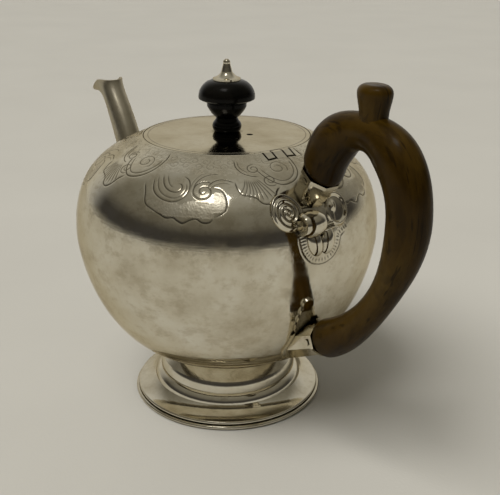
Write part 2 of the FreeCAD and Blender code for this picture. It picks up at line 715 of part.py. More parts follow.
def upper_socket_scroll():
    """A barrel-shaped roll along Y with an eye on each end, lying on the shoulder."""
    x = body_radius(ROLL_Z) + ROLL_OUT
    end = ROLL_END * ROLL_R
    low, high = ROLL_Y - ROLL_HALF, ROLL_Y + ROLL_HALF
    corners = [V(x, low, ROLL_Z), V(x + end, low, ROLL_Z), V(x + end, high, ROLL_Z), V(x, high, ROLL_Z)]
    profile = Part.Wire([
        Part.makeLine(corners[0], corners[1]),
        Part.Arc(corners[1], V(x + ROLL_R, ROLL_Y, ROLL_Z), corners[2]).toShape(),
        Part.makeLine(corners[2], corners[3]),
        Part.makeLine(corners[3], corners[0]),
    ])
    roll = Part.Face(profile).revolve(corners[0], AXIS_Y, FULL_TURN)
    eyes = rod(ROLL_EYE_R, V(x, low - ROLL_EYE_H, ROLL_Z), AXIS_Y, 2.0 * (ROLL_HALF + ROLL_EYE_H))
    roll = roll.fuse(eyes).removeSplitter()
    return roll.cut(SOLID_POT).cut(socket_form(upper_frame(), UPPER_ROOT, UPPER_RIM))


def plaque(rods, cuts):
    """Applied ornament: overlapping rods, of which one layer that follows the body's face is kept."""
    layer = bowl(-PLAQUE_T).cut(SOLID_POT)
    shape = joined(rods).common(layer)
    for cut in cuts:
        shape = shape.cut(cut)
    return shape


def level_rod(radius, y, z):
    """A rod along +X from the pot's middle plane, for ornament on the shoulder."""
    return rod(radius, V(0, y, z), AXIS_X, 2.0 * BODY_R)


def sunk(shape, depth):
    """The part of a cutting shape that lies within that depth of the ornament's face."""
    return shape.cut(bowl(depth - PLAQUE_T))


def upper_socket_plaque():
    """Behind the roll: a ridged volute, a hollow cartouche and a leaf of two lobes with a vein."""
    lobe_z = ROLL_Z - LEAF_DROP
    hollow_z = ROLL_Z + CARTOUCHE_UP
    volute_z = ROLL_Z + VOLUTE_UP
    rods = [level_rod(PLAQUE_BODY_R, 0.0, ROLL_Z),
            level_rod(VOLUTE_R, VOLUTE_Y, volute_z),
            level_rod(CARTOUCHE_R, CARTOUCHE_Y, hollow_z)]
    for side in (-1, 1):
        rods.append(level_rod(LEAF_LOBE_R, side * LEAF_LOBE_OUT, lobe_z))
        rods.append(level_rod(0.7 * LEAF_LOBE_R, side * 0.6 * LEAF_LOBE_OUT, lobe_z - LEAF_LENGTH))
    cuts = [socket_form(upper_frame(), UPPER_ROOT, UPPER_RIM), upper_socket_scroll()]
    cuts.append(sunk(level_rod(CARTOUCHE_R - CARTOUCHE_RIM, CARTOUCHE_Y, hollow_z), CARTOUCHE_DEPTH))
    for turn in (1, 2):
        outer = VOLUTE_R - turn * VOLUTE_RIDGE + 0.5 * GROOVE_W
        groove = level_rod(outer, VOLUTE_Y, volute_z).cut(level_rod(outer - GROOVE_W, VOLUTE_Y, volute_z))
        cuts.append(sunk(groove, GROOVE_DEPTH))
    vein_low = lobe_z - LEAF_LENGTH - LEAF_LOBE_R
    vein = Part.makeBox(2.0 * BODY_R, GROOVE_W, lobe_z - vein_low, V(0, -0.5 * GROOVE_W, vein_low))
    cuts.append(sunk(vein, GROOVE_DEPTH))
    return plaque(rods, cuts)


def face_crossing(frame, length):
    """Where a socket's axis leaves the body's face, and the face's direction upwards there."""
    root, along = frame[0], frame[2]
    low, high = 0.0, length
    while high - low > 1e-9:
        middle = 0.5 * (low + high)
        x, z = root[0] + along[0] * middle, root[1] + along[1] * middle
        if x < body_radius(z):
            low = middle
        else:
            high = middle
    lean = (body_radius(z + WALL) - body_radius(z - WALL)) / (2.0 * WALL)
    size = math.hypot(lean, 1.0)
    return (x, z), (lean / size, 1.0 / size)


def lower_socket_plaque():
    """A plate that edges the socket's slanting root all round, with a small leaf that rises from it."""
    frame = lower_frame()
    root, rim, along = frame
    back = tuple(r - a * LOWER_SINK for r, a in zip(root, along))
    ends = [octagon(back, along, LOWER_ROOT + LOWER_PLAQUE_EDGE), octagon(rim, along, LOWER_RIM + LOWER_PLAQUE_EDGE)]
    forms = [Part.makeLoft(ends, True, True)]
    place, up = face_crossing(frame, LOWER_LENGTH)
    out = (up[1], -up[0])
    slant = along[0] * out[0] + along[1] * out[1]
    depth = LOWER_SINK + PLAQUE_T
    for k in range(4):
        rise = LOWER_ROOT / slant - LOWER_LEAF_LAP + k * LOWER_LEAF_STEP
        start = V(place[0] + up[0] * rise - out[0] * depth, LOWER_LEAF_Y, place[1] + up[1] * rise - out[1] * depth)
        forms.append(rod(LOWER_LEAF_R - k * LOWER_LEAF_TAPER, start, V(out[0], 0, out[1]), 2.0 * depth))
    return plaque(forms, [socket_form(frame, LOWER_ROOT, LOWER_RIM)])


def handle_spans():
    """The handle's middle line as three curves, each with its half depth at both ends."""
    upper, lower = upper_frame(), lower_frame()
    ux, uz = polar(UPPER_PULL, UPPER_RISE)
    lx, lz = polar(LOWER_PULL, LOWER_SLOPE)
    start, end = upper[1], lower[1]
    crest, back = (CREST_X, CREST_Z), (BACK_X, BACK_Z)
    return [
        [start, (start[0] + ux, start[1] + uz), (CREST_X - CREST_PULL, CREST_Z), crest],
        [crest, (CREST_X + CREST_BACK_PULL, CREST_Z), (BACK_X, BACK_Z + BACK_PULL), back],
        [back, (BACK_X, BACK_Z - BACK_LOWER_PULL), (end[0] + lx, end[1] + lz), end],
    ]


def handle_half(station):
    """Half the oval's depth along the three spans, eased between its named sizes."""
    marks = [(0.0, UPPER_END_HALF), (0.35, BULB_HALF), (0.95, CREST_HALF), (1.5, SWELL_HALF),
             (2.0, BACK_HALF), (2.5, WAIST_HALF), (3.0, LOWER_END_HALF)]
    for (a, low), (b, high) in zip(marks, marks[1:]):
        if station <= b:
            ease = 0.5 - 0.5 * math.cos(math.pi * (station - a) / (b - a))
            return low + (high - low) * ease
    return marks[-1][1]


def end_inset(distance):
    """How much smaller the oval is, that far from one of the wood's rounded ends."""
    share = max(0.0, 1.0 - distance / END_ROUND)
    return END_INSET * (1.0 - math.sqrt(1.0 - share * share))


def bar_stations():
    """Where the handle's ovals lie along the three spans, closer together in the rounded ends."""
    upper = END_ROUND / (3.0 * UPPER_PULL)
    lower = END_ROUND / (3.0 * LOWER_PULL)
    ends = (0.0, 0.15, 0.45, 1.0)
    stations = [upper * share for share in ends]
    stations += [0.2, 0.4, 0.6, 0.8, 1.0, 1.2, 1.4, 1.6, 1.8, 2.0, 2.15, 2.3, 2.45, 2.6, 2.75, 2.88]
    return stations + [3.0 - lower * share for share in reversed(ends)]


def section_direction(poles, station):
    """The direction an oval faces: square to the upper socket at that end, then along the curve."""
    along = bezier_direction(poles, station - min(int(station), 2))
    share = min(1.0, station / END_TURN)
    socket_way = upper_frame()[2]
    x, z = (share * a + (1.0 - share) * b for a, b in zip(along, socket_way))
    size = math.hypot(x, z)
    return x / size, z / size


def handle_bar():
    spans = handle_spans()
    wires = []
    for station in bar_stations():
        span = min(int(station), 2)
        t = station - span
        to_end = min(station * 3.0 * UPPER_PULL, (3.0 - station) * 3.0 * LOWER_PULL)
        half = handle_half(station) - end_inset(to_end)
        middle, along = bezier_point(spans[span], t), section_direction(spans[span], station)
        wires.append(oval_wire(middle, along, half, HANDLE_FLATNESS * half))
    return loft(wires)


def thumbpiece():
    """An oval block that rises from the handle's middle line, waisted above it and rounded on top."""
    levels = [(0.0, 1.0), (0.42, THUMB_WAIST), (0.6, 0.92), (0.76, 1.0), (0.9, 0.97), (0.97, 0.8), (1.0, 0.5)]
    wires = []
    for height, share in levels:
        middle = (THUMB_X, CREST_Z + THUMB_H * height)
        wires.append(oval_wire(middle, (0.0, 1.0), share * THUMB_LONG, share * THUMB_WIDE))
    return loft(wires)


def handle():
    """The wooden bar with its thumbpiece, and a round tenon at each end bored for its pin."""
    upper, lower = upper_frame(), lower_frame()
    wood = handle_bar().fuse(thumbpiece())
    for frame, root_half, rim_half in ((upper, UPPER_ROOT, UPPER_RIM), (lower, LOWER_ROOT, LOWER_RIM)):
        rim, along = frame[1], frame[2]
        wood = wood.cut(socket_room(frame, rim_half))
        inner = V(rim[0] - along[0] * TENON_LENGTH, 0, rim[1] - along[1] * TENON_LENGTH)
        tenon = rod(TENON_R, inner, V(along[0], 0, along[1]), TENON_LENGTH + rim_half)
        wood = wood.fuse(tenon).cut(pin_rod(frame, HANDLE_PIN_R + SEAM, 2.0 * rim_half))
    return wood.removeSplitter()


def socket_room(frame, rim_half):
    """The half space below a socket's rim, so that the wood's shoulder is square to the socket."""
    rim, along = frame[1], frame[2]
    size = 4.0 * rim_half
    return rod(size, V(rim[0], 0, rim[1]), V(-along[0], 0, -along[1]), size)


PIECES = [body, foot, foot_rim, lid_seat, hinge_housing, body_knuckles, hinge_pin, spout, upper_socket,
          upper_socket_scroll, upper_socket_plaque, lower_socket, lower_socket_plaque, upper_handle_pin,
          lower_handle_pin, handle, lid, lid_bezel, lid_knuckles, finial_knob, finial_cap, finial_bolt,
          finial_washer, finial_nut]

os.makedirs("parts", exist_ok=True)
for piece in PIECES:
    piece().exportStep("parts/%s.step" % piece.__name__)
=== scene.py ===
"""Looks for the silver teapot: materials, chased ornament, floor, light and camera.

Metres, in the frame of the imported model: the pot's axis is Z, the handle points along +X.
Sizes of the ornament are written in millimetres and multiplied by MM.
"""

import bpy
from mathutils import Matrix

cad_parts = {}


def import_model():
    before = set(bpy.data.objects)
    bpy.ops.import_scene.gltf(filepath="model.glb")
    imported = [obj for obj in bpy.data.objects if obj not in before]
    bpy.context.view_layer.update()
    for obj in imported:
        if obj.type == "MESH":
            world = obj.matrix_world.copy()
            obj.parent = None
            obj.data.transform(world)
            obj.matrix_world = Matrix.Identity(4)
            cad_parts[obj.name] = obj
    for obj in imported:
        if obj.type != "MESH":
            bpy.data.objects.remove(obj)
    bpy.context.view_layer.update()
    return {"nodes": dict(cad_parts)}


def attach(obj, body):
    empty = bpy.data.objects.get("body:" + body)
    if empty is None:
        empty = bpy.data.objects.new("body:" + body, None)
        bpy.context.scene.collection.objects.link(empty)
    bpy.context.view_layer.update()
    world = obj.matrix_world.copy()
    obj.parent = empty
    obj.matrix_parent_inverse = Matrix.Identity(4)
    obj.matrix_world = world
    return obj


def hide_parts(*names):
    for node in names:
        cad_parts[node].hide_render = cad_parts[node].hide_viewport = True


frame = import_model()

import math
import random

import bmesh
import bpy
import numpy as np
from mathutils import Matrix, Vector

MM = 0.001

# The body's outline, in millimetres, as in the part's source
BODY_R, BELLY_Z = 58.0, 71.0
NECK_R, NECK_Z = 21.0, 20.0
BOTTOM_SLOPE, BOTTOM_PULL, BELLY_PULL = 9.2, 30.6, 8.6
MOUTH_R, MOUTH_Z = 31.6, 106.5
SHOULDER_SLOPE, SHOULDER_PULL, CROWN_PULL = 28.0, 12.0, 27.4
HINGE_EDGE_X, HINGE_HALF = 34.95, 8.7     # the shoulder stops here for the hinge
KNUCKLE_MIDDLE, KNUCKLE_HALF = 4.0, 1.85  # the lid's two knuckles, to each side of the handle's line
LID_LINE_R = 29.7                         # the line scored round the lid
CURVE_POINTS = 600                        # on each of the outline's two curves
WIDENING_POINTS = 500                     # of those on the shoulder, before the outline turns upright

# The chased skin over the body, in millimetres
SKIN_LIFT = 0.13         # how far the skin stands outside the body's face
GROOVE_DEPTH = 0.12
GROOVE_SIGMA = 0.19      # half width of a graver's cut
FRINGE_SIGMA = 0.22      # half width of a cut of the fringe
FRINGE_STEP = 0.85       # from one cut of the fringe to the next
DOT_DEPTH, DOT_SIGMA = 0.42, 0.14        # a punched dot, as a share of the groove's depth, and its half width
GROUND_SHARE, GROUND_SIGMA = 0.8, 0.42   # the dull ground round a dot
BORDER_DOTS, MOUTH_DOTS = 1100, 420      # dots inside the waved border, and near the mouth
REPEATS = 5              # times that the ornament repeats round the shoulder
COLUMNS = 1440           # of the skin's grid, round the pot
ROW = 0.26               # height of a row of the chased part
CHASED_ROWS = 194        # rows of that height, from the mouth down
PLAIN_ROWS = 26          # coarser rows from there to the neck

# The cast relief behind the upper socket: millimetres aside of the handle's line, and heights
RELIEF_STEP = 0.2        # of its grid
RELIEF_LEAST = 0.05      # lower places are left out
RELIEF_SINK = 0.4        # how far its edge goes below the body's face
PLATE_Z = 89.0
VOLUTE_Y, VOLUTE_Z = -11.0, 91.2
CARTOUCHE_Y, CARTOUCHE_Z, CARTOUCHE_R = 8.4, 89.8, 4.5
CURL_Y, CURL_Z = 6.6, 91.0
LEAF_Z = 80.8
BANDS_Z = (84.4, 85.9)

# Colours of the silver
SILVER_BROWN, SILVER_WARM, SILVER_PALE = (0.52, 0.47, 0.36), (0.68, 0.635, 0.52), (0.80, 0.77, 0.68)
SILVER_GLANCING = (0.78, 0.72, 0.60)
STAIN = (0.40, 0.345, 0.235)
TARNISH = (0.36, 0.30, 0.19)
HAZE = (0.30, 0.265, 0.19)
# Painted shade in creases and corners
CREASE_PAINTED_SHADE = (0.07, 0.058, 0.035)
# Painted shade in the cut lines and punched dots
CUT_PAINTED_SHADE = (0.07, 0.058, 0.036)
# Painted shade in the scored line round the lid
SCORED_LINE_PAINTED_SHADE = (0.12, 0.10, 0.07)
# Painted shade in the gaps of the hinge
HINGE_GAP_PAINTED_SHADE = (0.012, 0.010, 0.006)

# Colours of the woods and the floor
FRUITWOOD_DARK = (0.016, 0.0078, 0.0006)
FRUITWOOD = (0.038, 0.0205, 0.0022)
FRUITWOOD_WORN = (0.080, 0.050, 0.0100)
FRUITWOOD_GRAIN, FRUITWOOD_PORE = (0.009, 0.0045, 0.0006), (0.004, 0.002, 0.0004)
BLACK_WOOD, BLACK_WOOD_WORN = (0.0016, 0.0015, 0.0012), (0.006, 0.005, 0.0035)
PAPER, PAPER_PALE = (0.500, 0.487, 0.447), (0.522, 0.509, 0.467)

# Light: degrees and metres, with the key in watts and the even sun in watts per square metre
LAMP_AWAY, LAMP_AIM_Z = 1.3, 0.07
KEY_AZIMUTH, KEY_ELEVATION, KEY_POWER, KEY_SIZE = -57.0, 70.0, 1.5, 0.34
EVEN_AZIMUTH, EVEN_ELEVATION, EVEN_POWER, EVEN_ANGLE = -94.0, 56.0, 2.55, 38.0
KEY_COLOUR, EVEN_COLOUR = (1.0, 0.975, 0.93), (1.0, 0.985, 0.955)
WALL = (0.58, 0.565, 0.52)                # behind the pot
DIM_SIDE = [                              # behind the camera, from the horizon up to overhead
    (0.0, (0.26, 0.248, 0.215)),
    (0.09, (0.048, 0.045, 0.042)),
    (0.26, (0.05, 0.046, 0.04)),
    (0.46, (0.15, 0.138, 0.11)),
    (0.75, (0.20, 0.187, 0.15)),
    (1.0, (0.36, 0.345, 0.30)),
]
WALL_ENDS, DIM_STARTS = -0.82, -0.28      # how far a direction looks towards the camera's side, from -1 to 1
FLOOR_R, FLOOR_SIDES = 4.0, 64

# Camera
CAMERA_AT = (0.25704, -0.17013, 0.18042)
CAMERA_HEADING, CAMERA_PITCH, CAMERA_ROLL = 54.83, -21.30, 0.386
CAMERA_LENS, CAMERA_SENSOR = 59.87, 36.0


def link(obj):
    bpy.context.scene.collection.objects.link(obj)


def link_mesh(name, points, faces):
    mesh = bpy.data.meshes.new(name)
    mesh.from_pydata(points, [], faces)
    mesh.update()
    obj = bpy.data.objects.new(name, mesh)
    link(obj)
    return obj


# Materials


class Nodes:
    """A short way to write the nodes of a material or of the world."""

    def __init__(self, owner, shader, coordinates):
        owner.use_nodes = True
        self.owner = owner
        self.tree = owner.node_tree
        self.shader = self.tree.nodes[shader]
        self.where = self.add("ShaderNodeTexCoord").outputs[coordinates]

    def add(self, kind, **settings):
        node = self.tree.nodes.new(kind)
        for key, value in settings.items():
            setattr(node, key, value)
        return node

    def wire(self, source, target):
        self.tree.links.new(source, target)

    def give(self, socket, value):
        """Set a socket to a number or a colour, or wire an output to it."""
        if isinstance(value, (int, float)):
            socket.default_value = value
        elif isinstance(value, tuple):
            socket.default_value = (*value, 1.0)
        else:
            self.wire(value, socket)

    def axes(self):
        """The outputs X, Y and Z of the coordinates."""
        node = self.add("ShaderNodeSeparateXYZ")
        self.wire(self.where, node.inputs["Vector"])
        return node.outputs

    def attribute(self, name):
        return self.add("ShaderNodeAttribute", attribute_name=name).outputs["Fac"]

    def noise(self, scale, detail=4.0, roughness=0.55, stretch=(1, 1, 1), turn=(0, 0, 0)):
        """Noise over the object's own coordinates, with scale in features per metre."""
        mapping = self.add("ShaderNodeMapping")
        mapping.inputs["Scale"].default_value = stretch
        mapping.inputs["Rotation"].default_value = [math.radians(a) for a in turn]
        texture = self.add("ShaderNodeTexNoise")
        texture.inputs["Scale"].default_value = scale
        texture.inputs["Detail"].default_value = detail
        texture.inputs["Roughness"].default_value = roughness
        self.wire(self.where, mapping.inputs["Vector"])
        self.wire(mapping.outputs["Vector"], texture.inputs["Vector"])
        return texture.outputs["Fac"]

    def span(self, value, low, high, to_low, to_high):
        """A value carried smoothly from one range to another."""
        node = self.add("ShaderNodeMapRange", interpolation_type="SMOOTHSTEP")
        node.inputs["From Min"].default_value = low
        node.inputs["From Max"].default_value = high
        node.inputs["To Min"].default_value = to_low
        node.inputs["To Max"].default_value = to_high
        self.wire(value, node.inputs["Value"])
        return node.outputs["Result"]

    def ramp(self, value, stops):
        node = self.add("ShaderNodeValToRGB")
        elements = node.color_ramp.elements
        while len(elements) < len(stops):
            elements.new(0.5)
        for element, (place, colour) in zip(elements, stops):
            element.position = place
            element.color = (*colour, 1.0)
        self.wire(value, node.inputs["Fac"])
        return node.outputs["Color"]

    def math(self, operation, a, b=0.0):
        node = self.add("ShaderNodeMath", operation=operation)
        self.give(node.inputs[0], a)
        self.give(node.inputs[1], b)
        return node.outputs["Value"]

    def mix(self, share, a, b):
        """Two colours mixed by a share; each may be an output or a plain colour."""
        node = self.add("ShaderNodeMix", data_type="RGBA")
        colours = [socket for socket in node.inputs if socket.type == "RGBA"]
        self.give(node.inputs["Factor"], share)
        self.give(colours[0], a)
        self.give(colours[1], b)
        return [socket for socket in node.outputs if socket.type == "RGBA"][0]

    def bump(self, height, distance, after=None):
        node = self.add("ShaderNodeBump")
        node.inputs["Strength"].default_value = 1.0
        node.inputs["Distance"].default_value = distance
        self.wire(height, node.inputs["Height"])
        if after is not None:
            self.wire(after, node.inputs["Normal"])
        return node.outputs["Normal"]

    def creases(self, distance):
        """How open a place is, from 0 in a deep corner to 1 on a free face."""
        node = self.add("ShaderNodeAmbientOcclusion", samples=6)
        node.inputs["Distance"].default_value = distance
        return node.outputs["AO"]

    def surface(self, colour, rough, normal):
        self.wire(colour, self.shader.inputs["Base Color"])
        self.give(self.shader.inputs["Roughness"], rough)
        self.wire(normal, self.shader.inputs["Normal"])


def material_nodes(name):
    return Nodes(bpy.data.materials.new(name), "Principled BSDF", "Object")


def silver_material(name, planish=0.00016, tarnish=0.25, stains=0.2, haze=0.0,
                    grooves=False, line_radius=None, gaps=False):
    """Old worn silver: a warm mirror with cloudy tarnish, polishing streaks and a faint planished wave; shade
    is painted into its creases, and where asked into cut lines, a scored line and hinge gaps.
    """
    n = material_nodes(name)
    cloud = n.noise(46.0, 6.0, 0.62)
    speck = n.noise(420.0, 3.0, 0.6)
    blotch = n.noise(170.0, 8.0, 0.72, stretch=(0.75, 0.75, 1.0))
    streak = n.noise(260.0, 3.0, 0.55, stretch=(0.12, 0.12, 1.0))
    wipe = n.noise(700.0, 2.0, 0.5, stretch=(0.08, 1.0, 0.35), turn=(-30, 10, -25))
    stained = n.span(blotch, 0.46, 0.64, 0.0, 1.0)
    dull = n.span(speck, 0.58, 0.76, 0.0, tarnish)
    # Painted shade: the colour goes dark in creases and corners, where shade falls, by how open each place is
    unshaded_share = n.span(n.creases(0.0022), 0.25, 0.85, 0.0, 1.0)
    colour = n.ramp(cloud, [(0.30, SILVER_BROWN), (0.50, SILVER_WARM), (0.75, SILVER_PALE)])
    colour = n.mix(n.math("MULTIPLY", stained, stains), colour, STAIN)
    colour = n.mix(dull, colour, TARNISH)
    colour = n.mix(unshaded_share, CREASE_PAINTED_SHADE, colour)
    rough = n.math("ADD", n.span(cloud, 0.3, 0.7, 0.12, 0.05), n.span(streak, 0.45, 0.75, 0.0, 0.06))
    rough = n.math("ADD", rough, n.math("MULTIPLY", stained, 0.25 * stains))
    fine = n.math("ADD", n.span(streak, 0.45, 0.75, 0.0, 1.0), n.span(wipe, 0.45, 0.75, 0.0, 0.5))
    normal = n.bump(n.noise(62.0, 2.0, 0.5), planish)
    normal = n.bump(fine, 0.000014, after=normal)
    if haze > 0.0:
        colour = n.mix(0.5 * haze, colour, HAZE)
        rough = n.math("ADD", rough, 0.25 * haze)
    if grooves:
        # Painted shade: the cut lines and punched dots are darkened where shade falls in them
        cut = n.attribute("groove")
        colour = n.mix(n.span(cut, 0.2, 0.8, 0.0, 0.85), colour, CUT_PAINTED_SHADE)
        rough = n.math("ADD", rough, n.span(cut, 0.2, 0.9, 0.0, 0.2))
        rough = n.math("ADD", rough, n.span(n.attribute("ground"), 0.1, 0.7, 0.0, 0.26))
    if line_radius is not None:
        colour, normal = turned_line(n, colour, normal, line_radius)
    # Painted shade in the gaps of the hinge
    if gaps:
        colour = hinge_gap_painted_shade(n, colour)
    n.surface(colour, rough, normal)
    n.shader.inputs["Metallic"].default_value = 1.0
    n.shader.inputs["Specular Tint"].default_value = (*SILVER_GLANCING, 1.0)
    return n.owner


def hinge_gap_painted_shade(n, colour):
    """Painted shade in the gaps at the sides and the end of the lid's two knuckles: the colour goes dark
    there.
    """
    axes = n.axes()
    aside = n.math("ABSOLUTE", axes["Y"])
    off = n.math("ABSOLUTE", n.math("SUBTRACT", aside, KNUCKLE_MIDDLE * MM))
    side = n.span(off, (KNUCKLE_HALF - 0.55) * MM, (KNUCKLE_HALF - 0.35) * MM, 0.0, 1.0)
    end = n.span(axes["X"], (HINGE_EDGE_X - 0.95) * MM, (HINGE_EDGE_X - 0.75) * MM, 0.0, 1.0)
    return n.mix(n.math("MAXIMUM", side, end), colour, HINGE_GAP_PAINTED_SHADE)


def turned_line(n, colour, normal, radius):
    """A fine line scored round the Z axis at that radius, as a bump with painted shade in it."""
    axes = n.axes()
    squared = n.math("ADD", n.math("POWER", axes["X"], 2.0), n.math("POWER", axes["Y"], 2.0))
    off = n.math("ABSOLUTE", n.math("SUBTRACT", n.math("SQRT", squared), radius))
    cut = n.span(off, 0.0, 0.00035, 1.0, 0.0)
    # Painted shade: the line's colour is darkened where shade falls in it
    colour = n.mix(n.math("MULTIPLY", cut, 0.75), colour, SCORED_LINE_PAINTED_SHADE)
    return colour, n.bump(cut, -0.0001, after=normal)


def handle_material():
    """Dark fruitwood, polished by hands: long soft grain, pores, and paler worn patches."""
    n = material_nodes("handle_wood_polished")
    figure = n.noise(30.0, 5.0, 0.6, stretch=(1.0, 2.6, 0.7), turn=(0, 25, 0))
    grain = n.noise(420.0, 4.0, 0.6, stretch=(0.22, 1.0, 0.16), turn=(0, 20, 0))
    pores = n.noise(1500.0, 2.0, 0.5, stretch=(0.10, 1.0, 0.07), turn=(0, 20, 0))
    colour = n.ramp(figure, [(0.28, FRUITWOOD_DARK), (0.55, FRUITWOOD), (0.80, FRUITWOOD_WORN)])
    colour = n.mix(n.span(grain, 0.42, 0.62, 0.0, 0.5), colour, FRUITWOOD_GRAIN)
    colour = n.mix(n.span(pores, 0.60, 0.70, 0.0, 0.6), colour, FRUITWOOD_PORE)
    rough = n.math("ADD", n.span(figure, 0.3, 0.7, 0.40, 0.28), n.span(pores, 0.55, 0.7, 0.0, 0.15))
    normal = n.bump(n.noise(95.0, 3.0, 0.5), 0.00022)
    n.surface(colour, rough, n.bump(pores, -0.00004, after=normal))
    n.shader.inputs["Specular IOR Level"].default_value = 0.03
    n.shader.inputs["Coat Weight"].default_value = 0.16
    n.shader.inputs["Coat Roughness"].default_value = 0.2
    return n.owner


def black_wood_material():
    """Ebonised turned wood: near black, with turning marks and a waxed shine."""
    n = material_nodes("black_wood_waxed")
    turning = n.noise(800.0, 3.0, 0.5, stretch=(0.1, 0.1, 1.0))
    wear = n.noise(120.0, 5.0, 0.6)
    colour = n.ramp(wear, [(0.35, BLACK_WOOD), (0.75, BLACK_WOOD_WORN)])
    rough = n.math("ADD", n.span(wear, 0.3, 0.7, 0.14, 0.22), n.span(turning, 0.5, 0.7, 0.0, 0.06))
    n.surface(colour, rough, n.bump(turning, 0.00002))
    n.shader.inputs["Specular IOR Level"].default_value = 0.11
    return n.owner


def floor_material():
    n = material_nodes("pale_paper")
    colour = n.ramp(n.noise(9.0, 4.0, 0.5), [(0.3, PAPER), (0.7, PAPER_PALE)])
    n.surface(colour, 0.75, n.bump(n.noise(900.0, 2.0, 0.5), 0.00005))
    n.shader.inputs["Specular IOR Level"].default_value = 0.2
    return n.owner


def dress(names, material):
    for name in names:
        slots = frame["nodes"][name].data.materials
        slots.clear()
        slots.append(material)


# The body's outline


def cubic(poles, t):
    """Points on a cubic curve at the values of t, as columns of r and z."""
    s = 1.0 - t
    weights = np.stack([s ** 3, 3 * s * s * t, 3 * s * t * t, t ** 3], axis=1)
    return weights @ np.array(poles)


def outline():
    """The body's outline from the mouth to the neck: arc length, radius and height."""
    slope, bottom = math.radians(SHOULDER_SLOPE), math.radians(BOTTOM_SLOPE)
    t = np.linspace(0.0, 1.0, CURVE_POINTS)
    shoulder = cubic([(MOUTH_R, MOUTH_Z),
                      (MOUTH_R + SHOULDER_PULL * math.cos(slope), MOUTH_Z - SHOULDER_PULL * math.sin(slope)),
                      (BODY_R, BELLY_Z + CROWN_PULL), (BODY_R, BELLY_Z)], t)
    belly = cubic([(BODY_R, BELLY_Z), (BODY_R, BELLY_Z - BELLY_PULL),
                   (NECK_R + BOTTOM_PULL * math.cos(bottom), NECK_Z + BOTTOM_PULL * math.sin(bottom)),
                   (NECK_R, NECK_Z)], t)
    line = np.vstack([shoulder, belly[1:]])
    length = np.concatenate([[0.0], np.cumsum(np.hypot(*np.diff(line, axis=0).T))])
    return length, line[:, 0], line[:, 1]


ARC, ARC_R, ARC_Z = outline()

# The shoulder again, from the belly up to the mouth, so that its heights rise
UP = slice(CURVE_POINTS - 1, None, -1)
UP_ARC, UP_R, UP_Z = ARC[UP], ARC_R[UP], ARC_Z[UP]


def on_body(aside, height):
    """Where a point of the shoulder lies, in degrees from the handle's line and mm below the mouth."""
    radius = np.interp(height, UP_Z, UP_R)
    down = np.interp(height, UP_Z, UP_ARC)
    return math.degrees(math.asin(aside / radius)), down


# The lines of the ornament, as (degrees round the pot, mm below the mouth)


def smooth_line(points, step=0.18):
    """A smooth line through given points, as closely spaced points."""
    points = np.array(points, float)
    ends = np.vstack([2 * points[0] - points[1], points, 2 * points[-1] - points[-2]])
    found = []
    for a, b, c, d in zip(ends, ends[1:], ends[2:], ends[3:]):
        size = math.hypot(0.8 * (c[0] - b[0]), c[1] - b[1])
        t = np.linspace(0.0, 1.0, max(2, int(size / step)), endpoint=False)[:, None]
        found.append(0.5 * (2 * b + (c - a) * t + (2 * a - 5 * b + 4 * c - d) * t ** 2
                            + (3 * b - a - 3 * c + d) * t ** 3))
    return np.vstack(found)


def coil(theta, down, inner, outer, start, turns):
    """A spiral line round (theta, down) from the inner to the outer radius in millimetres."""
    count = max(12, int(12 * abs(turns)))
    share = np.linspace(0.0, 1.0, count)
    radius = inner + (outer - inner) * share
    angle = np.radians(start) + 2 * np.pi * turns * share
    degree = np.interp(down, ARC, ARC_R) * math.pi / 180.0
    return np.column_stack([theta + radius * np.cos(angle) / degree, down + radius * np.sin(angle)])


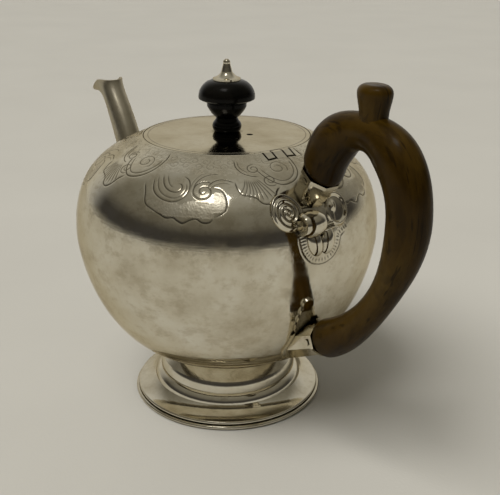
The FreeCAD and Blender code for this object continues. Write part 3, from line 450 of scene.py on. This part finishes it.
def scroll_lines():
    """The long cuts of one repeat, each with its depth: C-scrolls, coils, a leaf and the waved border."""
    return [
        ([(-91, 8.5), (-87.5, 12.8), (-82.5, 16.0), (-78, 16.0), (-73.5, 14.2), (-70, 10.5), (-68.6, 5.5),
          (-69.5, 1.5)], 1.0),
        ([(-89, 8.0), (-86, 11.6), (-82, 14.3), (-78, 14.4), (-74.2, 12.6), (-71.4, 9.4), (-70.2, 5.0)], 0.8),
        (coil(-79.5, 8.2, 0.7, 3.6, 200, 1.6), 0.7),
        ([(-66.5, 14.5), (-63.8, 19.4), (-59.2, 22.0), (-54, 22.6), (-50.4, 20.6), (-49, 17.0), (-50.2, 13.6),
          (-53.5, 11.8)], 0.9),
        ([(-65.2, 13.2), (-62.4, 18.0), (-58.5, 20.6), (-54, 21.2), (-51.2, 19.4), (-50.3, 16.8),
          (-51.5, 14.6)], 0.7),
        ([(-63.2, 12.5), (-60.4, 16.6), (-57.2, 18.6), (-54, 18.9), (-52.2, 17.4), (-53.0, 15.6),
          (-55.3, 15.4)], 0.9),
        ([(-61.4, 12.0), (-58.6, 15.6), (-56.4, 17.0), (-54.6, 17.0)], 0.7),
        (coil(-43.0, 17.8, 0.6, 4.3, 40, 1.75), 1.0),
        ([(-47.4, 17.6), (-46.9, 14.6), (-44.8, 12.0), (-41, 10.4), (-36.5, 10.2)], 0.8),
        ([(-48.6, 17.8), (-48.2, 14.2), (-45.8, 10.9), (-42, 9.2)], 0.6),
        ([(-41.6, 15.8), (-39.4, 13.6), (-35.4, 12.6), (-30.2, 14.0)], 1.0),
        ([(-41.0, 17.0), (-38.6, 15.0), (-35.0, 14.1), (-31.4, 14.9)], 0.7),
        ([(-39.6, 16.2), (-36.4, 16.8), (-34.5, 19.0), (-33.6, 22.0), (-34.2, 24.8), (-36.4, 26.4),
          (-38.0, 27.0)], 1.0),
        ([(-69.5, 17.2), (-67.2, 20.5), (-65.2, 24.4), (-61.8, 26.0), (-58.0, 27.4), (-55.5, 28.3),
          (-52.8, 28.0), (-51.0, 28.9), (-49.0, 29.5), (-46.6, 28.3), (-44.4, 27.8), (-42.2, 28.9),
          (-39.8, 28.8), (-38.0, 27.0)], 0.95),
        ([(-30.2, 13.6), (-29.3, 16.6), (-27.6, 19.0), (-24.6, 19.7), (-22.2, 20.6), (-20.2, 22.6),
          (-17.6, 23.0), (-15.2, 21.5), (-13.0, 18.4), (-11.0, 16.8)], 1.0),
        ([(-29.6, 3.0), (-29.2, 6.4), (-26.6, 9.4), (-22.6, 11.2), (-18.4, 11.8)], 0.9),
        ([(-28.2, 3.2), (-27.6, 6.2), (-25.4, 8.4), (-22.4, 9.9)], 0.7),
        (coil(-20.4, 7.8, 0.5, 2.4, 90, 1.6), 0.8),
        (coil(-14.4, 13.8, 0.5, 2.6, 250, -1.6), 0.8),
    ]


def shell_lines():
    """The short cuts of one repeat, each with its depth: a fan of flutes, and small coils near the mouth."""
    lines = []
    for k in range(9):
        share = k / 8
        top = (-25.5 + 5.0 * share, 12.4 + 0.5 * math.sin(math.pi * share))
        foot = (-29.0 + 15.5 * share, 17.6 + 4.6 * math.sin(0.62 * math.pi * share + 0.5))
        bend = (0.55 * top[0] + 0.45 * foot[0] + 0.5, 0.5 * (top[1] + foot[1]))
        lines.append(([top, bend, foot], 0.75))
    for k in range(11):
        theta = -65.0 + 3.3 * k
        down = 4.0 + 2.6 * (k % 2)
        turns = 1.4 if k % 2 else -1.4
        lines.append((coil(theta, down, 0.3, 1.7, 70 * k, turns), 0.5))
        tendril = [(theta - 1.2, down + 2.6), (theta + 0.6, down + 3.3), (theta + 2.0, down + 2.2)]
        lines.append((tendril, 0.45))
    for k in range(5):
        theta = -88.0 + 4.4 * k
        lines.append((coil(theta, 3.6 + 1.2 * (k % 2), 0.3, 1.5, 110 * k, 1.4), 0.45))
    return lines


def fringe_lines():
    """The hatched fringe cut round the leaf below the upper socket, each cut with its depth."""
    path = smooth_line([(-6.4, 83.4), (-5.8, 79.4), (-3.4, 76.4), (0.0, 75.6), (3.4, 76.4), (6.0, 79.2),
                        (7.2, 82.4), (9.6, 84.0), (12.6, 85.4)], FRINGE_STEP)
    way = np.gradient(path, axis=0)
    way /= np.linalg.norm(way, axis=1)[:, None]
    outward = np.column_stack([way[:, 1], -way[:, 0]])
    lines = []
    for point, out in zip(path, outward):
        lines.append(([on_body(*(point + 0.2 * out)), on_body(*(point + 1.9 * out))], 1.3))
    edge = [on_body(*(point + 2.4 * out)) for point, out in zip(path, outward)]
    lines.append((edge[::2], 0.8))
    return lines


def matting():
    """Punched dots of one repeat: a ground inside the waved border, and a sparser one near the mouth."""
    seeded = random.Random(7)
    dots = []
    for _ in range(BORDER_DOTS):
        theta = seeded.uniform(-64.0, -34.0)
        top = 23.0 if theta < -48 else 22.2
        low = 26.6 if theta < -57 else 27.2
        if theta > -38.5:
            top, low = 18.6, 25.0
        dots.append((theta, seeded.uniform(top, low)))
    for _ in range(MOUTH_DOTS):
        dots.append((seeded.uniform(-90, -18), seeded.uniform(1.0, 10.5)))
    return dots


# The chased skin


def stamp(field, theta, down, depth, sigma):
    """One touch of the graver: the field keeps the deepest cut at each of its points."""
    degrees = 360.0 / COLUMNS
    middle = theta / degrees
    row = down / ROW
    cell = np.interp(down, ARC, ARC_R) * math.radians(degrees)
    columns = np.arange(int(middle) - 5, int(middle) + 7)
    rows = np.arange(max(0, int(row) - 3), min(CHASED_ROWS, int(row) + 5))
    if len(rows) == 0:
        return
    across = (columns - middle) * cell
    along = (rows - row) * ROW
    cut = depth * np.exp(-(along[:, None] ** 2 + across[None, :] ** 2) / (2 * sigma ** 2))
    place = np.ix_(rows, columns % field.shape[1])
    field[place] = np.maximum(field[place], cut)


def engrave(field, lines, sigma):
    """Cut lines into the field, shallower towards their ends."""
    for line, depth in lines:
        points = smooth_line(line)
        for index, (theta, down) in enumerate(points):
            ends = min(1.0, 0.35 + 0.08 * min(index, len(points) - 1 - index))
            stamp(field, theta, down, depth * ends, sigma)


def chased_fields():
    """The depth of the cuts, and the share of punched ground, at each point of the skin."""
    repeat = np.zeros((CHASED_ROWS, COLUMNS // REPEATS))
    ground = np.zeros_like(repeat)
    engrave(repeat, scroll_lines() + shell_lines(), GROOVE_SIGMA)
    for theta, down in matting():
        stamp(repeat, theta, down, DOT_DEPTH, DOT_SIGMA)
        stamp(ground, theta, down, GROUND_SHARE, GROUND_SIGMA)
    field = np.tile(repeat, (1, REPEATS))
    engrave(field, fringe_lines(), FRINGE_SIGMA)
    plain = np.zeros((PLAIN_ROWS, COLUMNS))
    return np.vstack([field, plain]), np.vstack([np.tile(ground, (1, REPEATS)), plain])


def skin_start(theta):
    """The arc length at which each column of the skin starts: at the mouth, or at the hinge's edge."""
    turn = np.abs((theta + math.pi) % (2 * math.pi) - math.pi)
    handle_side = turn < 1.0
    at_hinge = handle_side & (HINGE_EDGE_X * np.tan(turn) < HINGE_HALF)
    edge_r = np.where(at_hinge, HINGE_EDGE_X / np.cos(turn), MOUTH_R)
    return np.interp(edge_r, ARC_R[:WIDENING_POINTS], ARC[:WIDENING_POINTS])


def skin_points(field):
    """The skin's points, row by row from the mouth to the neck; the first row lies on the body itself."""
    chased = np.arange(CHASED_ROWS) * ROW
    down = np.concatenate([chased, np.linspace(CHASED_ROWS * ROW, ARC[-1], PLAIN_ROWS)])
    theta = np.radians(np.arange(COLUMNS) * 360.0 / COLUMNS)
    length = np.maximum(down[:, None], skin_start(theta)[None, :])
    tangent_r = np.interp(length, ARC, np.gradient(ARC_R, ARC))
    tangent_z = np.interp(length, ARC, np.gradient(ARC_Z, ARC))
    lift = SKIN_LIFT - GROOVE_DEPTH * field
    lift[0] = 0.0
    radius = np.interp(length, ARC, ARC_R) - tangent_z * lift
    height = np.interp(length, ARC, ARC_Z) + tangent_r * lift
    return np.stack([radius * np.cos(theta), radius * np.sin(theta), height], axis=2).reshape(-1, 3) * MM


def body_skin():
    """The body's outer face with its chased band, just outside the plain body; it stops at the hinge."""
    field, ground = chased_fields()
    i, j = np.meshgrid(np.arange(len(field) - 1), np.arange(COLUMNS), indexing="ij")
    k = (j + 1) % COLUMNS
    faces = np.stack([i * COLUMNS + j, (i + 1) * COLUMNS + j, (i + 1) * COLUMNS + k, i * COLUMNS + k], axis=2)
    skin = link_mesh("body_chased_skin", skin_points(field).tolist(), faces.reshape(-1, 4).tolist())
    for name, values in (("groove", field), ("ground", ground)):
        attribute = skin.data.attributes.new(name, "FLOAT", "POINT")
        attribute.data.foreach_set("value", values.reshape(-1).astype(np.float32))
    clean = bmesh.new()
    clean.from_mesh(skin.data)
    bmesh.ops.remove_doubles(clean, verts=clean.verts, dist=1e-7)
    keep_smooth(clean, skin.data)
    skin.data.materials.append(silver_material("silver_chased", stains=0.42, grooves=True))
    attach(skin, "pot")


def keep_smooth(clean, mesh):
    """Write a cleaned mesh back, shaded smooth."""
    for face in clean.faces:
        face.smooth = True
    clean.to_mesh(mesh)
    clean.free()


# The cast relief behind the upper socket


def soft(value, full, none):
    """1 up to full, falling smoothly to 0 at none."""
    share = np.clip((none - value) / (none - full), 0.0, 1.0)
    return share * share * (3.0 - 2.0 * share)


def relief_volute(y, z):
    """A coiled volute to the left of the socket."""
    away = np.hypot(y - VOLUTE_Y, z - VOLUTE_Z)
    angle = np.arctan2(z - VOLUTE_Z, y - VOLUTE_Y)
    rings = 1.0 + 0.5 * (1.0 - (away / 5.6) ** 2) + 0.32 * np.cos(2.0 * math.pi * away / 1.6 - angle)
    return rings * soft(away, 5.0, 5.7)


def relief_cartouche(y, z):
    """A round cartouche to the right of the socket, with a rim and a small curl inside."""
    away = np.hypot(y - CARTOUCHE_Y, z - CARTOUCHE_Z)
    rim = 1.4 * np.exp(-((away - CARTOUCHE_R) / 0.8) ** 2)
    curl = 0.9 * np.exp(-(np.hypot(y - CURL_Y, z - CURL_Z) / 1.5) ** 2)
    return np.maximum(rim, 0.45 * soft(away, 4.6, 5.2) + curl * soft(away, 4.0, 4.8))


def relief_height(y, z):
    """How far the casting stands out of the body, in mm: volute, cartouche, bands and a two-lobed leaf."""
    plate = 0.7 * soft(np.abs(y), 6.5, 8.0) * soft(np.abs(z - PLATE_Z), 3.0, 4.2)
    height = np.maximum(np.maximum(plate, relief_volute(y, z)), relief_cartouche(y, z))
    for side in (-1, 1):
        off = ((y - side * (2.6 + 0.12 * (z - LEAF_Z))) / 3.1) ** 2 + ((z - LEAF_Z) / 4.6) ** 2
        height = np.maximum(height, 2.1 * np.clip(1.0 - off, 0.0, None) ** 0.7)
    for level in BANDS_Z:
        band = 1.3 * np.exp(-((z - level - 0.012 * y * y) / 0.55) ** 2) * soft(np.abs(y), 5.6, 7.0)
        height = np.maximum(height, band)
    return height


def upper_relief():
    """The casting's modelled face, laid on the body: its edge sinks below the skin all round."""
    y, z = np.meshgrid(np.arange(-17.4, 14.6, RELIEF_STEP), np.arange(75.6, 98.0, RELIEF_STEP))
    height = relief_height(y, z)
    shown = height > RELIEF_LEAST
    lift = np.where(shown, SKIN_LIFT + height, -RELIEF_SINK)
    radius = np.interp(z, UP_Z, UP_R)
    lean = np.interp(z, UP_Z, np.gradient(UP_R, UP_Z))
    size = np.hypot(1.0, lean)
    turn = np.arcsin(y / radius)
    out = radius + lift / size
    places = np.stack([out * np.cos(turn), out * np.sin(turn), z - lift * lean / size], axis=2)
    points = places.reshape(-1, 3) * MM
    rows, columns = y.shape
    faces = []
    for i in range(rows - 1):
        for j in range(columns - 1):
            if shown[i:i + 2, j:j + 2].any():
                first = i * columns + j
                faces.append((first, first + 1, first + columns + 1, first + columns))
    piece = link_mesh("upper_socket_relief", points.tolist(), faces)
    clean = bmesh.new()
    clean.from_mesh(piece.data)
    bmesh.ops.delete(clean, geom=[v for v in clean.verts if not v.link_faces], context="VERTS")
    keep_smooth(clean, piece.data)
    piece.data.materials.append(silver_material("silver_relief", planish=0.00004, tarnish=0.4))
    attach(piece, "pot")
    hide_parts("upper_socket_plaque")


# Floor, light and camera


def floor():
    points = [(0, 0, 0)]
    for k in range(FLOOR_SIDES):
        turn = 2 * math.pi * k / FLOOR_SIDES
        points.append((FLOOR_R * math.cos(turn), FLOOR_R * math.sin(turn), 0))
    faces = [(0, 1 + k, 1 + (k + 1) % FLOOR_SIDES) for k in range(FLOOR_SIDES)]
    ground = link_mesh("floor", points, faces)
    ground.data.materials.append(floor_material())


def lamp(name, kind, azimuth, elevation, power, colour):
    """A lamp that looks at the pot's middle from that direction."""
    turn, lift = math.radians(azimuth), math.radians(elevation)
    way = Vector((math.cos(lift) * math.cos(turn), math.cos(lift) * math.sin(turn), math.sin(lift)))
    light = bpy.data.lights.new(name, kind)
    light.energy = power
    light.color = colour
    obj = bpy.data.objects.new(name, light)
    obj.location = Vector((0, 0, LAMP_AIM_Z)) + way * LAMP_AWAY
    obj.rotation_euler = way.to_track_quat("Z", "Y").to_euler()
    link(obj)
    return obj


def lamps():
    """A small key that the silver mirrors, and a broad even light that it doesn't."""
    key = lamp("key", "AREA", KEY_AZIMUTH, KEY_ELEVATION, KEY_POWER, KEY_COLOUR)
    key.data.size = KEY_SIZE
    even = lamp("even", "SUN", EVEN_AZIMUTH, EVEN_ELEVATION, EVEN_POWER, EVEN_COLOUR)
    even.data.angle = math.radians(EVEN_ANGLE)
    even.visible_glossy = False


def world():
    """A plain room: pale behind the pot, and dim behind the camera, paler at the floor and overhead."""
    room = bpy.data.worlds.new("dim_room")
    bpy.context.scene.world = room
    n = Nodes(room, "Background", "Generated")
    dim = n.ramp(n.axes()["Z"], DIM_SIDE)
    facing = n.add("ShaderNodeVectorMath", operation="DOT_PRODUCT")
    turn = math.atan2(CAMERA_AT[1], CAMERA_AT[0])
    facing.inputs[1].default_value = (math.cos(turn), math.sin(turn), 0.0)
    n.wire(n.where, facing.inputs[0])
    side = n.span(facing.outputs["Value"], WALL_ENDS, DIM_STARTS, 0.0, 1.0)
    n.wire(n.mix(side, WALL, dim), n.shader.inputs["Color"])
    n.shader.inputs["Strength"].default_value = 1.0


def camera():
    data = bpy.data.cameras.new("photo_view")
    data.lens = CAMERA_LENS
    data.sensor_width = CAMERA_SENSOR
    data.clip_start = 0.01
    obj = bpy.data.objects.new("photo_view", data)
    turn = (Matrix.Rotation(math.radians(CAMERA_HEADING), 4, "Z")
            @ Matrix.Rotation(math.radians(90.0 + CAMERA_PITCH), 4, "X")
            @ Matrix.Rotation(math.radians(CAMERA_ROLL), 4, "Z"))
    obj.matrix_world = Matrix.Translation(CAMERA_AT) @ turn
    link(obj)
    bpy.context.scene.camera = obj


bpy.context.scene.view_settings.view_transform = "Standard"
dress(["body", "lid_seat", "hinge_housing", "body_knuckles", "hinge_pin", "lid_bezel",
       "finial_bolt", "finial_washer", "finial_nut"], silver_material("silver_plain"))
dress(["lid"], silver_material("silver_lid", planish=0.00008, line_radius=LID_LINE_R * MM))
dress(["lid_knuckles"], silver_material("silver_hinge", planish=0.00004, gaps=True))
dress(["foot", "foot_rim", "finial_cap"], silver_material("silver_spun", planish=0.00006, tarnish=0.3))
dress(["spout"], silver_material("silver_spout", planish=0.00008, tarnish=0.4, haze=1.0))
dress(["upper_socket", "upper_socket_scroll", "upper_socket_plaque", "lower_socket", "lower_socket_plaque",
       "upper_handle_pin", "lower_handle_pin"], silver_material("silver_cast", planish=0.00005, tarnish=0.5))
dress(["handle"], handle_material())
dress(["finial_knob"], black_wood_material())
body_skin()
upper_relief()
floor()
world()
lamps()
camera()
